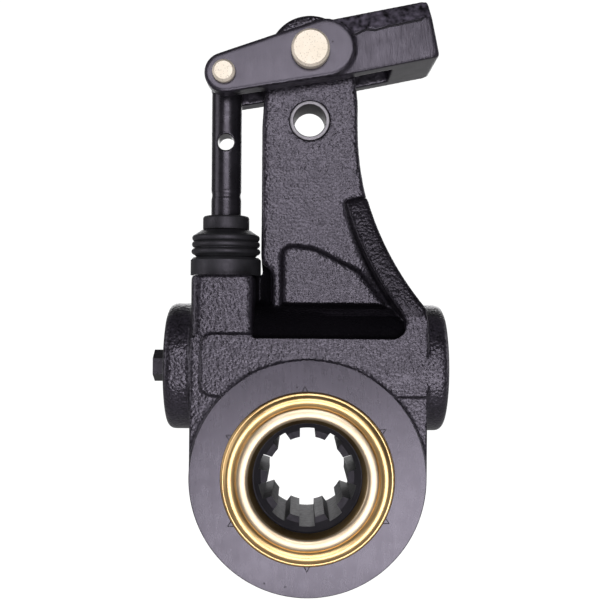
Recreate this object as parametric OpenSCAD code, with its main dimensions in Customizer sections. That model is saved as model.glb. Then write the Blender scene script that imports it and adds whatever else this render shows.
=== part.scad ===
/* [Hub and spline] */
// Outer diameter of the hub
hub_d = 90.6; // [86:0.1:96]
// Width of the hub along the cam axis
hub_w = 52; // [50:0.5:58]
// Height of the machined hub ring above the cast faces
ring_step = 0.8; // [0.4:0.1:1.5]
// Height of the cast pad above the rack column's face
frame_step = 1.2; // [0.4:0.1:1.6]
// Diameter over the spline grooves
spline_major_d = 38.1; // [36:0.1:38.6]
// Diameter over the spline teeth
spline_minor_d = 31.2; // [30:0.1:33]
// Width of one spline groove
groove_w = 5.94; // [5:0.02:6.4]
// Number of splines
spline_count = 10; // [8:1:12]
// Length of the splined stretch
spline_len = 32; // [26:0.5:36]

/* [Arm] */
// Height of the lower arm hole above the cam axis
hole_low = 139.7; // [132:0.1:145]
// Distance between the two arm holes
hole_pitch = 25.4; // [24:0.1:30]
// Thickness of the arm
arm_t = 18; // [16:0.5:19]
// Distance of the arm's left side from its holes
arm_left = 18.3; // [17:0.1:18.8]
// Distance of the arm's right side from its holes
arm_right = 19.3; // [17:0.1:20]
// Radius of the arm's rounded end
arm_end_r = 17; // [15:0.1:18]
// Bore of the arm bushes
bush_d = 12.8; // [12.2:0.1:13.4]
// Outer diameter of the arm bushes
bush_od = 15.9; // [15:0.1:18]
// Thickness of the web in the pocket
web_t = 9; // [7:0.5:14]

/* [Worm drive] */
// Module of the worm and wheel
gear_module = 3; // [2.8:0.05:3.1]
// Teeth of the worm wheel
wheel_teeth = 21; // [20:1:21]
// Width of the wheel's toothed band
wheel_face = 18; // [14:0.5:22]
// Pitch diameter of the worm
worm_pitch_d = 19; // [18:0.1:20]
// Length of the worm thread
thread_len = 30; // [26:0.5:32]
// Diameter of the worm shaft's journals
journal_d = 13; // [11:0.1:14]
// Diameter of the shaft inside the pinion
pinion_shaft_d = 8; // [7:0.1:8.6]
// Size across the flats of the adjusting hex
hex_af = 11.1; // [9.5:0.1:12.7]
// Length of the adjusting hex outside the boss
hex_len = 6.2; // [5:0.1:10]
// Outer diameter of the worm bosses
boss_d = 51; // [48:0.5:51.5]
// Length of the left boss outside the column
boss_left = 10.8; // [9:0.2:14]
// Length of the right boss outside the block
boss_right = 8.5; // [8:0.1:12]

/* [Rack and pinion] */
// Teeth of the pinion
pinion_teeth = 12; // [11:1:13]
// Module of the pinion and rack
rack_module = 1.25; // [1.2:0.01:1.3]
// Diameter of the rack's round body
rack_d = 17.8; // [17:0.1:18.4]
// Distance of the rack axis in front of the worm axis
rack_offset = 3; // [2.6:0.1:3.2]
// Width of the rack column
column_w = 24; // [23.4:0.2:27]
// Height of the column's top above the cam axis
column_top = 77.8; // [76:0.2:80]

/* [Link and boot] */
// Diameter of the link rod
link_d = 12.2; // [10.5:0.1:12.4]
// Diameter of the ball on the link's foot
ball_d = 10; // [9:0.1:10.6]
// Diameter of the boot's base and ribs
boot_d = 28.4; // [27:0.1:30]
// Height of the boot's base collar
boot_base_h = 7.1; // [6:0.1:8.5]
// Height of the boot's ribbed stretch
boot_rib_h = 11.1; // [10:0.1:14]
// Height of the boot's top collar
boot_top_h = 5.7; // [4:0.1:7]
// Number of boot ribs
boot_ribs = 3; // [2:1:4]
// Wall of the boot
boot_wall = 1.3; // [1:0.1:1.6]

/* [Clevis] */
// Link pin's distance to the left of the clevis pin
link_arm = 33.5; // [32.5:0.1:35]
// Link pin's distance below the clevis pin
link_drop = 8.7; // [6:0.1:10]
// Upward slope of the clevis block
clevis_tilt = 11.5; // [8:0.5:16]
// Length of the block from the clevis pin to its end
block_len = 49.4; // [44:0.2:56]
// Height of the clevis block
block_h = 23.2; // [20:0.2:25]
// Depth of the clevis block
block_w = 34; // [32:0.5:37]
// Thickness of one ear
ear_t = 9.2; // [7:0.1:10]
// Radius of the ear at the link pin
ear_small_r = 7.8; // [7:0.1:9]
// Radius of the ear at the clevis pin
ear_big_r = 11.3; // [10:0.1:12.5]
// Clevis pin diameter
clevis_pin_d = 12.7; // [12:0.05:12.75]
// Clevis pin head diameter
clevis_head_d = 14.8; // [14:0.1:17]
// Link pin diameter
link_pin_d = 6.35; // [5.5:0.05:6.5]
// Link pin head diameter
link_head_d = 8.8; // [8:0.1:10]
// Diameter of the push rod thread in the block
rod_thread_d = 15.9; // [14:0.1:17]

/* [Clearances] */
// Radial running clearance of shafts and slides
run_gap = 0.06; // [0.03:0.01:0.1]
// Radial clearance of seated pieces
seat_gap = 0.03; // [0.02:0.01:0.06]
// Clearance between moving faces
face_gap = 0.4; // [0.3:0.05:0.6]
// Radial clearance of the link's eye on its pin
eye_gap = 0.65; // [0.6:0.05:0.9]
// Thinning of each worm and wheel flank
flank_gap = 0.28; // [0.2:0.01:0.36]
// Thinning of each rack and pinion flank
rack_gap = 0.1; // [0.06:0.01:0.14]

/* [Hidden] */
$fn = 64;
cut = 0.5;
corner_steps = 6;
curve_steps = 4;

// Worm and wheel
hub_r = hub_d / 2;
cast_half = hub_w / 2 - ring_step;
wheel_pitch_r = gear_module * wheel_teeth / 2;
worm_pitch_r = worm_pitch_d / 2;
worm_z = wheel_pitch_r + worm_pitch_r;
tooth_root = 1.25;
pressure_angle = 20;
wheel_tip_r = wheel_pitch_r + gear_module;
wheel_root_r = wheel_pitch_r - tooth_root * gear_module;
worm_tip_r = worm_pitch_r + gear_module;
worm_root_r = worm_pitch_r - tooth_root * gear_module;
worm_pitch = PI * gear_module;
worm_step = 24;
slices_per_turn = 12;
wheel_twist = wheel_face * worm_pitch / (2 * PI * worm_pitch_r) / wheel_pitch_r * 180 / PI;
wheel_slices = 8;
cavity_r = wheel_tip_r + 2 * face_gap;
cavity_half = wheel_face / 2 + 3 * face_gap;
core_inset = 0.25;
wheel_journal_r = wheel_root_r - core_inset;
wheel_sink = 3.4;
wheel_half = hub_w / 2 - wheel_sink;
lead_in = 1.6;
lead_in_r = spline_major_d / 2 + lead_in;
lead_in_end = spline_major_d / 2 - 1;
nose_wall = 2.6;
wheel_nose_r = lead_in_r + nose_wall;

// Seals and covers of the hub
seal_depth = 6;
seal_front = 3;
seat_wall = 2;
wheel_shoulder = hub_w / 2 - seal_depth - face_gap;
cover_seat_r = wheel_journal_r + seat_wall;
cover_lip = 3.4;
cover_r = cover_seat_r + cover_lip;
cover_eye_r = lead_in_r + face_gap;
cover_sheet = 1.2;
cover_recess = 0.8;
cover_drop = hub_w / 2 - wheel_half - face_gap - cover_sheet - cover_recess;
cover_span = cover_r - cover_eye_r;
outer_roll = 2.6;
inner_roll = 2.1;
cover_groove = 0.7;
cover_marks = [[1, 0], [0.98, -outer_roll / 2], [0.86, -outer_roll], [0.69, -outer_roll], [0.58, 0],
               [0.5, cover_groove], [0.41, -inner_roll / 2], [0.28, -inner_roll], [0.13, -inner_roll / 2],
               [0.04, cover_drop / 3], [0, cover_drop]];
cover_flat = 2;
rear_wall = 2.6;
rear_cover_r = wheel_tip_r + rear_wall;

// Worm axis, from left to right
rack_x = -link_arm;
block_edge = 0.4;
block_half = hub_r + block_edge;
column_left = rack_x - column_w / 2;
column_right = rack_x + column_w / 2;
left_end = column_left - boss_left;
right_end = block_half + boss_right;
boss_r = boss_d / 2;
boss_round = 3;
worm_bore_r = worm_tip_r + 2 * face_gap;
cap_r = 17.5;
cap_depth = 6;
cap_sink = 0.6;
cap_socket_r = 5.5;
pinion_pitch_r = rack_module * pinion_teeth / 2;
rack_tooth = 0.8;
rack_angle = 25;
pinion_tip_r = pinion_pitch_r + rack_tooth * rack_module;
pinion_root_r = pinion_pitch_r - tooth_root * rack_module;
rack_r = rack_d / 2;
rack_bore_r = rack_r + run_gap;
rack_face = 14;
pinion_over = 2.5;
pinion_w = rack_face + pinion_over;
pinion_left = rack_x - pinion_w / 2;
pinion_right = rack_x + pinion_w / 2;
clutch_r = 8;
clutch_hub_l = 4.2;
drum_left = pinion_right + clutch_hub_l + face_gap;
drum_right = -thread_len / 2;
coil_wire = 1.2;
coil_gap = 0.2;
coil_turns = 5;
coil_sides = 8;
coil_steps = 32;
left_bearing_x = left_end + cap_depth;
left_bearing_w = min(pinion_left, rack_x - rack_r) - face_gap - left_bearing_x;
shaft_right_r = worm_root_r - core_inset;
washer_x = thread_len / 2;
washer_r = worm_z - sqrt(pow(wheel_tip_r, 2) - pow(washer_x, 2)) - face_gap;
right_bearing_x = sqrt(pow(wheel_tip_r, 2) - pow(worm_z - worm_bore_r, 2)) + face_gap;
right_bearing_w = 14;
washer_t = right_bearing_x - face_gap - washer_x;
spring_x = right_bearing_x + right_bearing_w + face_gap;
spring_h = 4.8;
spring_sheet = 1.4;
clip_x = spring_x + spring_h;
clip_t = 1.6;
clip_wall = 5.1;
shaft_over = 3;
shaft_right = clip_x + clip_t + shaft_over;
seal_w = 3.4;
seal_r = 10.5;

// Rack and column
rack_y = -rack_offset;
rack_below = 10;
rack_above = 16;
rack_room = 6.2;
rack_rise = 1.6;
rack_foot = worm_z - rack_below;
rack_shoulder = worm_z + rack_above;
rack_top = column_top + rack_rise;
rack_floor = rack_foot - rack_room;
rack_pitch = PI * rack_module;
rack_land = 4;
rack_count = floor((rack_shoulder - rack_land - rack_foot) / rack_pitch);
rack_first = worm_z - 1.5 * rack_pitch;
rack_root_y = -pinion_tip_r - rack_module / 4;
rack_tip_y = -pinion_pitch_r + rack_tooth * rack_module;
rack_half = rack_pitch / 4 - rack_gap;
rack_slope = tan(rack_angle);
root_half = rack_half - (rack_root_y + pinion_pitch_r) * rack_slope;
tip_half = rack_half - (rack_tip_y + pinion_pitch_r) * rack_slope;
rack_teeth = [for (k = [0 : rack_count - 1]) let (z = rack_first + k * rack_pitch)
    each [[rack_root_y, z - root_half], [rack_tip_y, z - tip_half],
          [rack_tip_y, z + tip_half], [rack_root_y, z + root_half]]];
rack_back = rack_y - rack_d;
rack_profile = concat([[rack_back, rack_foot], [rack_root_y, rack_foot]], rack_teeth,
                      [[rack_root_y, rack_shoulder + cut], [rack_back, rack_shoulder + cut]]);
column_back = 13;
column_round = 4;
column_round_right = 2;
column_round_back = 8;

// Link and boot
ball_sink = 5.2;
ball_z = rack_top - ball_sink;
ball_r = ball_d / 2;
neck_r = 3.1;
socket_mouth_r = 5;
link_r = link_d / 2;
link_foot = rack_top + 4;
link_edge = 1;
link_groove = 0.7;
link_groove_h = 1.6;
boot_r = boot_d / 2;
boot_top = column_top + boot_base_h + boot_rib_h + boot_top_h;
link_shoulder = boot_top + 8.3;
link_neck_r = link_r - link_groove;
pin_z = hole_low + hole_pitch;
link_pin_x = -link_arm;
link_pin_z = pin_z - link_drop;
link_over = 7.4;
link_top = link_pin_z + link_over;
link_crown = 3;
link_crown_in = 2.4;
link_hole_pitch = hole_pitch;
boot_grip_r = link_r + seat_gap;
boot_grip_wall = 3.2;
boot_collar_r = boot_grip_r + boot_grip_wall;
boot_collar_round = 1.2;
boot_seat_r = boot_r - 1.8;
boot_valley_r = boot_r - 3.6;
boot_rib_r = boot_r - 0.2;
boot_foot = column_top + 0.1;
rib_z = column_top + boot_base_h;
rib_step = boot_rib_h / boot_ribs;
rib_arc = 5;
band_wall = 1.5;
band_round = 1;
band_lip = 0.4;

// Casting
flare_r = 115;
flare_drop = 2;
flare_top = hole_low - flare_drop;
flare_steps = 10;
flare_end = acos(1 - (block_half - arm_right) / flare_r);
arm_neck = 8;
arm_neck_r = 20;
rib_w = 9;
rib_from = 14.4;
rib_rise = 4;
rib_top = flare_top - flare_r * sin(rib_from) + 2;
rib_meet = flare_top - flare_r * sin(flare_end);
rib_meet_r = 3;
shelf_z = worm_z + 12.8;
pocket_round = 5;
pocket_right = block_half - rib_w;
pad_left = column_left + 4.4;
pad_low = worm_z - 9.7;
pad_high = worm_z + 14;
pad_round = 4.5;
stem_left = -14.5;
stem_z = column_top + 1.5;
stem_step = 4;
stem_round = 2;
recess_left = stem_left + 3.8;
recess_top = column_top + 12.5;
recess_right = pocket_right + 1;
arm_outline = rounded(concat(
    [[-arm_left, hole_low + arm_neck, arm_neck_r], [-arm_left, stem_z + stem_step, stem_round],
     [stem_left, stem_z, stem_round], [stem_left, worm_z, 0], [block_half, worm_z, 0]],
    [for (p = flare(0, flare_end, 0)) [p.x, p.y, 0]],
    [[arm_right, hole_low + arm_neck, arm_neck_r], [arm_end_r, pin_z, 0], [-arm_end_r, pin_z, 0]]));
recess_bend = [[recess_left + 12.7, recess_top - 1.4], [recess_right - 17.4, column_top + 2],
               [recess_right - 11.4, column_top - 6], [recess_right, shelf_z + 4]];
recess_outline = rounded([[recess_left, shelf_z - cut, 0], [recess_left, recess_top, 4],
                          [recess_bend[0].x, recess_bend[0].y, 12], [recess_bend[1].x, recess_bend[1].y, 4],
                          [recess_bend[2].x, recess_bend[2].y, 6], [recess_bend[3].x, recess_bend[3].y, 4],
                          [recess_right - 1, shelf_z - cut, 0]]);
rib_outline = concat(flare(0, flare_end, rib_from), flare(rib_w, rib_from, flare_end));
rib_side = [[-arm_t / 2 - rib_rise, rib_top], [arm_t / 2 + rib_rise, rib_top], [cast_half, rib_meet],
            [cast_half, worm_z], [-cast_half, worm_z], [-cast_half, rib_meet]];
shoulder_line = [[pocket_right, shelf_z, pocket_round], [pocket_right + 1, rib_meet, 0],
                 [block_half, rib_meet, rib_meet_r]];
block_outline = rounded(concat([[column_left, 0, 0], [column_left, shelf_z, 0], [column_right, shelf_z, 0]],
                               shoulder_line, [[block_half, 0, 0]]));
pad_outline = rounded(concat([[pad_left, pad_low, pad_round], [pad_left, pad_high, pad_round],
                              [column_right, pad_high, 0], [column_right, shelf_z, 0]],
                             shoulder_line, [[block_half, pad_low, 0]]));
boss_profile = [for (i = [0 : corner_steps]) let (a = 90 * i / corner_steps)
    [boss_r - boss_round + boss_round * sin(a), boss_round - boss_round * cos(a)]];
bush_proud = 0.3;
bush_half = arm_t / 2 + bush_proud;

// Clevis and pins
slot_gap = 0.7;
slot_half = arm_t / 2 + slot_gap;
ear_out = slot_half + ear_t;
ear_shift = 6.2;
ear_outline = taper([link_pin_x, link_pin_z], ear_small_r,
                    [ear_shift * cos(clevis_tilt), pin_z + ear_shift * sin(clevis_tilt)], ear_big_r);
block_half_w = block_w / 2;
block_from = 4;
facet_low = 4.5;
facet_in = 3;
slot_end = 31;
block_half_h = block_h / 2;
block_section = [[-block_half_w, -block_half_h], [-block_half_w, facet_low],
                 [-block_half_w + facet_in, block_half_h], [block_half_w - facet_in, block_half_h],
                 [block_half_w, facet_low], [block_half_w, -block_half_h]];
head_h = 4.4;
link_head_h = 3;
pin_tail = 6;
chamfer = 0.9;
cotter_d = 2.4;
link_cotter_d = 1.6;

// Grease fitting on the back
fitting_r = 3;
fitting_away = 6;
fitting_x = sqrt(pow(hub_r + fitting_away, 2) - pow(worm_z, 2));
fitting_hex_r = fitting_r + 1.4;
fitting_shank = 5;
fitting_hex_h = 3;
fitting_neck_r = fitting_r - 1;
fitting_neck_h = 5.4;
fitting_tip_h = 8.6;

// Unit vector along v
function unit(v) = v / norm(v);

// Arc of radius r that rounds the corner b between a and c
function corner(a, b, c, r) =
    let (u = unit(a - b), w = unit(c - b), half = acos(u * w) / 2, mid = b + unit(u + w) * r / sin(half),
         start = b + u * r / tan(half) - mid, stop = b + w * r / tan(half) - mid,
         from = atan2(start.y, start.x), turn = (atan2(stop.y, stop.x) - from + 540) % 360 - 180)
    [for (i = [0 : corner_steps]) let (a = from + turn * i / corner_steps) mid + r * [cos(a), sin(a)]];

// Outline through points [x, y, corner radius]
function rounded(points) =
    let (n = len(points), flat = [for (p = points) [p.x, p.y]])
    [for (i = [0 : n - 1]) each points[i].z == 0 ? [flat[i]]
        : corner(flat[(i + n - 1) % n], flat[i], flat[(i + 1) % n], points[i].z)];

// Smooth line through points
function curve(points) =
    let (n = len(points) - 1)
    concat([for (i = [0 : n - 1], k = [0 : curve_steps - 1])
        let (a = points[max(i - 1, 0)], b = points[i], c = points[i + 1], d = points[min(i + 2, n)],
             t = k / curve_steps, bend = a - 2.5 * b + 2 * c - d / 2, turn = 1.5 * (b - c) + (d - a) / 2)
        b + (c - a) * t / 2 + bend * t * t + turn * t * t * t],
        [points[n]]);

// Tangent outline round two circles
function taper(c1, r1, c2, r2) =
    let (v = c2 - c1, dir = atan2(v.y, v.x), lean = asin((r2 - r1) / norm(v)), steps = 16,
         small = 180 - 2 * lean, big = 180 + 2 * lean)
    concat([for (i = [0 : steps]) let (a = dir + 90 + lean + small * i / steps) c1 + r1 * [cos(a), sin(a)]],
           [for (i = [0 : steps]) let (a = dir - 90 - lean + big * i / steps) c2 + r2 * [cos(a), sin(a)]]);

// Arc of the flared right side of the arm, moved inwards by inset
function flare(inset, from, to) =
    [for (i = [0 : flare_steps]) let (a = from + (to - from) * i / flare_steps)
        [arm_right + flare_r - (flare_r + inset) * cos(a), flare_top - (flare_r + inset) * sin(a)]];

// Involute function in degrees
function involute(a) = tan(a) * 180 / PI - a;

// Gear outline with each flank thinned by gap
function gear_points(teeth, mod, tip, root, gap, angle) =
    let (pitch = mod * teeth / 2, base = pitch * cos(angle), low = max(root, base + 0.01), steps = 4,
         half = 90 / teeth - gap / pitch * 180 / PI + involute(angle),
         flank = [for (i = [0 : steps]) let (r = low + (tip - low) * i / steps)
             [r, half - involute(acos(base / r))]],
         tooth = concat([[root, -half]], [for (f = flank) [f[0], -f[1]]],
                        [for (i = [steps : -1 : 0]) flank[i]], [[root, half]]))
    [for (k = [0 : teeth - 1], p = tooth) let (a = k * 360 / teeth + p[1]) p[0] * [cos(a), sin(a)]];

// Radius of the worm's cross section at an angle from the middle of the thread
function worm_r(angle) =
    let (half = worm_pitch / 4 - flank_gap, x = abs(angle) / 360 * worm_pitch)
    max(worm_root_r, min(worm_tip_r, worm_pitch_r + (half - x) / tan(pressure_angle)));

// Cylinder along the cam axis from y0 to y1
module along_y(r, y0, y1) translate([0, y1, 0]) rotate([90, 0, 0]) cylinder(h = y1 - y0, r = r);

// Cylinder along the worm axis from x0 to x1
module along_x(r, x0, x1) translate([x0, 0, worm_z]) rotate([0, 90, 0]) cylinder(h = x1 - x0, r = r);

// Ring along the worm axis from x0 to x1
module ring_x(outer, inner, x0, x1) difference() {
    along_x(outer, x0, x1);
    along_x(inner, x0 - cut, x1 + cut);
}

// Outline in the plane of the arm, from y0 to y1
module plate(points, y0, y1) translate([0, y1, 0]) rotate([90, 0, 0]) linear_extrude(y1 - y0) polygon(points);

// Profile of [radius, height along the cam axis] turned about that axis
module turned_y(points) rotate([-90, 0, 0]) rotate_extrude() polygon(points);

// Profile of [radius, x] turned about the worm axis
module turned_x(points) translate([0, 0, worm_z]) rotate([0, 90, 0]) rotate_extrude() polygon(points);

// Profile of [radius, height] turned about the rack axis
module turned_z(points) translate([rack_x, rack_y, 0]) rotate_extrude() polygon(points);

// Coil of round wire about the worm axis
module coil_x(inner, wire, x0, x1, turns) {
    count = turns * coil_steps;
    middle = inner + wire / 2;
    points = [for (i = [0 : count], k = [0 : coil_sides - 1])
        let (r = middle + wire / 2 * cos(360 * k / coil_sides), a = 360 * i / coil_steps,
             x = x0 + wire / 2 + (x1 - x0 - wire) * i / count + wire / 2 * sin(360 * k / coil_sides))
        [x, r * cos(a), r * sin(a)]];
    walls = [for (i = [0 : count - 1], k = [0 : coil_sides - 1])
        let (n = (k + 1) % coil_sides, a = i * coil_sides, b = a + coil_sides) [a + k, b + k, b + n, a + n]];
    ends = [[for (k = [0 : coil_sides - 1]) k], [for (k = [coil_sides - 1 : -1 : 0]) count * coil_sides + k]];
    translate([0, 0, worm_z]) polyhedron(points, concat(walls, ends));
}

// Rack column in plan
module column() translate([0, 0, worm_z]) linear_extrude(column_top - worm_z)
    polygon(rounded([[column_left, -cast_half + frame_step, column_round],
                     [column_right, -cast_half + frame_step, column_round_right],
                     [column_right, column_back, column_round_back],
                     [column_left, column_back, column_round_back]]));

// One boss of the worm bore, from its rim to the middle
module boss(length) rotate_extrude() polygon(concat([[0, 0]], boss_profile, [[boss_r, length], [0, length]]));

// Arm with its round end and the recess on both sides of its web
module arm() difference() {
    union() {
        plate(arm_outline, -arm_t / 2, arm_t / 2);
        translate([0, 0, pin_z]) along_y(arm_end_r, -arm_t / 2, arm_t / 2);
    }
    plate(recess_outline, -arm_t, -web_t / 2);
    plate(recess_outline, web_t / 2, arm_t);
}

// Cast body before its bores
module casting() {
    along_y(hub_r, -hub_w / 2, hub_w / 2);
    plate(block_outline, -cast_half + frame_step, cast_half);
    plate(pad_outline, -cast_half, 0);
    column();
    translate([left_end, 0, worm_z]) rotate([0, 90, 0]) boss(-left_end);
    translate([right_end, 0, worm_z]) rotate([0, -90, 0]) boss(right_end);
    arm();
    translate([column_right - cut, -web_t / 2, worm_z])
        cube([stem_left - column_right + 2 * cut, web_t, column_top - worm_z]);
    translate([-arm_left, -web_t / 2, worm_z])
        cube([arm_left + stem_left + cut, web_t, stem_z + stem_step - worm_z]);
    intersection() {
        plate(rib_outline, -cast_half, cast_half);
        rotate([90, 0, 90]) linear_extrude(block_half + cut) polygon(rib_side);
    }
}

module housing() color("dimgray") difference() {
    casting();
    along_y(wheel_journal_r + run_gap, -hub_w, 0);
    along_y(cover_seat_r + seat_gap, -hub_w, -hub_w / 2 + seal_depth);
    along_y(cover_r + seat_gap, -hub_w, -hub_w / 2 + cover_recess);
    along_y(cavity_r, -cavity_half, hub_w);
    along_y(rear_cover_r + seat_gap, cavity_half, hub_w);
    along_x(worm_bore_r, left_end - cut, right_end + cut);
    along_x(cap_r + seat_gap, left_end - cut, left_end + cap_depth);
    along_x(cap_r + seat_gap, right_end - cap_depth, right_end + cut);
    translate([rack_x, rack_y, rack_floor]) cylinder(h = column_top - rack_floor + cut, r = rack_bore_r);
    for (z = [hole_low, pin_z]) translate([0, 0, z]) along_y(bush_od / 2 + seat_gap, -arm_t, arm_t);
    translate([fitting_x, 0, worm_z]) {
        along_y(fitting_r, worm_bore_r - 1, hub_w);
        along_y(fitting_hex_r + face_gap, cast_half, hub_w);
    }
}

// Bush pressed in an arm hole
module arm_bush(z) translate([0, 0, z]) difference() {
    along_y(bush_od / 2, -bush_half, bush_half);
    along_y(bush_d / 2, -arm_t, arm_t);
}

module arm_bush_lower() color("silver") arm_bush(hole_low);

module arm_bush_upper() color("silver") arm_bush(pin_z);

// Splined bore, open at both ends
module spline_bore() {
    along_y(spline_minor_d / 2, -hub_w, hub_w);
    intersection() {
        along_y(spline_major_d / 2, -hub_w, hub_w);
        for (i = [0 : spline_count - 1]) rotate([0, i * 360 / spline_count, 0])
            translate([-groove_w / 2, -hub_w, 0]) cube([groove_w, 2 * hub_w, hub_d]);
    }
    along_y(lead_in_r, -wheel_half + lead_in + spline_len, hub_w);
    translate([0, -wheel_half, 0]) rotate([-90, 0, 0]) cylinder(h = lead_in, r1 = lead_in_r, r2 = lead_in_end);
}

module worm_wheel() color("slategray") difference() {
    union() {
        along_y(wheel_nose_r, -wheel_half, wheel_half);
        along_y(wheel_journal_r, -wheel_shoulder, wheel_shoulder);
        rotate([90, 0, 0])
            linear_extrude(wheel_face, center = true, twist = -wheel_twist, slices = wheel_slices)
            rotate(90 + 180 / wheel_teeth - wheel_twist / 2)
            polygon(gear_points(wheel_teeth, gear_module, wheel_tip_r, wheel_root_r,
                                flank_gap, pressure_angle));
    }
    spline_bore();
}

// Pressed cover with two rolls and a turned-in eye, its lip in the recess of the hub face
module seal_cover() {
    line = [for (p = curve(cover_marks)) [cover_eye_r + cover_span * p.x, p.y]];
    under = [for (i = [len(line) - 1 : -1 : cover_flat * curve_steps]) line[i] + [0, cover_sheet]];
    turned_y(concat(line, under));
}

module front_seal_cover() color("goldenrod") translate([0, cover_recess - hub_w / 2, 0]) seal_cover();

module rear_seal_cover() color("goldenrod") mirror([0, 1, 0])
    translate([0, cover_recess - hub_w / 2, 0]) seal_cover();

// Rubber ring behind a seal cover
module gear_seal() difference() {
    along_y(cover_seat_r, -hub_w / 2 + seal_front, -hub_w / 2 + seal_depth);
    along_y(wheel_nose_r + face_gap, -hub_w, 0);
}

module front_seal() color("black") gear_seal();

module rear_seal() color("black") mirror([0, 1, 0]) gear_seal();

// Cover that closes the wheel's cavity, hollowed for the worm
module rear_cover() color("dimgray") difference() {
    along_y(rear_cover_r, cavity_half, hub_w / 2);
    along_y(wheel_journal_r + run_gap, 0, hub_w);
    along_y(cover_seat_r + seat_gap, hub_w / 2 - seal_depth, hub_w);
    along_y(cover_r + seat_gap, hub_w / 2 - cover_recess, hub_w);
    along_x(worm_bore_r, left_end, right_end);
}

// Thread of the worm, its cross section twisted along the axis
module worm_thread() {
    turns = thread_len / worm_pitch;
    translate([0, 0, worm_z]) rotate([0, 90, 0])
        linear_extrude(thread_len, center = true, twist = -360 * turns, slices = round(slices_per_turn * turns))
        rotate(-180 * turns)
        polygon([for (a = [-180 : worm_step : 180 - worm_step]) worm_r(a) * [cos(a), sin(a)]]);
}

module worm_shaft() color("gray") {
    translate([left_end - hex_len, 0, worm_z]) rotate([0, 90, 0])
        cylinder(h = hex_len + cut, r = hex_af / 2 / cos(30), $fn = 6);
    along_x(journal_d / 2, left_end, pinion_left - face_gap);
    along_x(pinion_shaft_d / 2, pinion_left - face_gap - cut, drum_right + cut);
    worm_thread();
    along_x(shaft_right_r, thread_len / 2 - cut, shaft_right);
}

module clutch_drum() color("silver") ring_x(clutch_r, pinion_shaft_d / 2 + seat_gap, drum_left, drum_right);

module clutch_spring() color("lightsteelblue")
    coil_x(clutch_r + coil_gap, coil_wire, pinion_right + face_gap, drum_right - face_gap, coil_turns);

module pinion() color("silver") difference() {
    union() {
        translate([pinion_left, 0, worm_z]) rotate([0, 90, 0]) linear_extrude(pinion_w) rotate(270)
            polygon(gear_points(pinion_teeth, rack_module, pinion_tip_r, pinion_root_r, rack_gap, rack_angle));
        along_x(clutch_r, pinion_right, pinion_right + clutch_hub_l);
    }
    along_x(pinion_shaft_d / 2 + run_gap, pinion_left - cut, drum_left);
}

module left_bearing() color("peru")
    ring_x(worm_bore_r - seat_gap, journal_d / 2 + run_gap, left_bearing_x, left_bearing_x + left_bearing_w);

module right_bearing() color("peru")
    ring_x(worm_bore_r - seat_gap, shaft_right_r + run_gap, right_bearing_x, right_bearing_x + right_bearing_w);

module worm_seal() color("black")
    ring_x(seal_r - seat_gap, journal_d / 2 + run_gap, left_bearing_x - seal_w, left_bearing_x);

module left_cap() color("dimgray") difference() {
    ring_x(cap_r, journal_d / 2 + face_gap, left_end + cap_sink, left_end + cap_depth);
    along_x(seal_r, left_end + cap_depth - seal_w, left_end + cap_depth + cut);
}

module right_cap() color("dimgray") difference() {
    along_x(cap_r, right_end - cap_depth, right_end - cap_sink);
    translate([right_end - cap_depth / 2, 0, worm_z]) rotate([0, 90, 0])
        cylinder(h = cap_depth, r = cap_socket_r, $fn = 6);
}

module thrust_washer() color("silver")
    ring_x(washer_r, shaft_right_r + seat_gap, washer_x, washer_x + washer_t);

// Cone washer between the bearing and the shaft ring
module thrust_spring() color("lightsteelblue")
    turned_x([[shaft_right_r + seat_gap, spring_x + spring_h],
              [shaft_right_r + seat_gap, spring_x + spring_h - spring_sheet],
              [worm_tip_r, spring_x], [worm_tip_r, spring_x + spring_sheet]]);

module shaft_ring() color("silver")
    ring_x(shaft_right_r + clip_wall, shaft_right_r + seat_gap, clip_x, clip_x + clip_t);

// Rack: round body with the link's socket above, toothed half below
module rack() color("silver") difference() {
    union() {
        translate([rack_x, rack_y, rack_shoulder]) cylinder(h = rack_top - rack_shoulder, r = rack_r);
        intersection() {
            translate([rack_x, rack_y, rack_foot]) cylinder(h = rack_shoulder - rack_foot + cut, r = rack_r);
            translate([rack_x - rack_face / 2, 0, 0]) rotate([90, 0, 90])
                linear_extrude(rack_face) polygon(rack_profile);
        }
    }
    translate([rack_x, rack_y, ball_z]) {
        sphere(r = ball_r + run_gap);
        cylinder(h = rack_top - ball_z + cut, r1 = neck_r, r2 = socket_mouth_r);
    }
}

// Link rod: ball foot, groove above the boot, rounded top and two cross holes
module link() color("dimgray") difference() {
    union() {
        translate([rack_x, rack_y, ball_z]) {
            sphere(r = ball_r);
            cylinder(h = link_foot - ball_z, r = neck_r - face_gap);
        }
        turned_z([[0, link_foot], [link_r - link_edge, link_foot], [link_r, link_foot + link_edge],
                  [link_r, link_shoulder - 2 * link_groove], [link_neck_r, link_shoulder - link_groove],
                  [link_neck_r, link_shoulder - link_groove + link_groove_h],
                  [link_r, link_shoulder + link_groove_h], [link_r, link_top - link_crown],
                  [link_r - link_crown_in, link_top], [0, link_top]]);
    }
    translate([rack_x, 0, link_pin_z]) along_y(link_pin_d / 2 + eye_gap, -hub_w, hub_w);
    translate([rack_x, 0, link_pin_z - link_hole_pitch]) along_y(link_pin_d / 2 + run_gap, -hub_w, hub_w);
}

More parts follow.
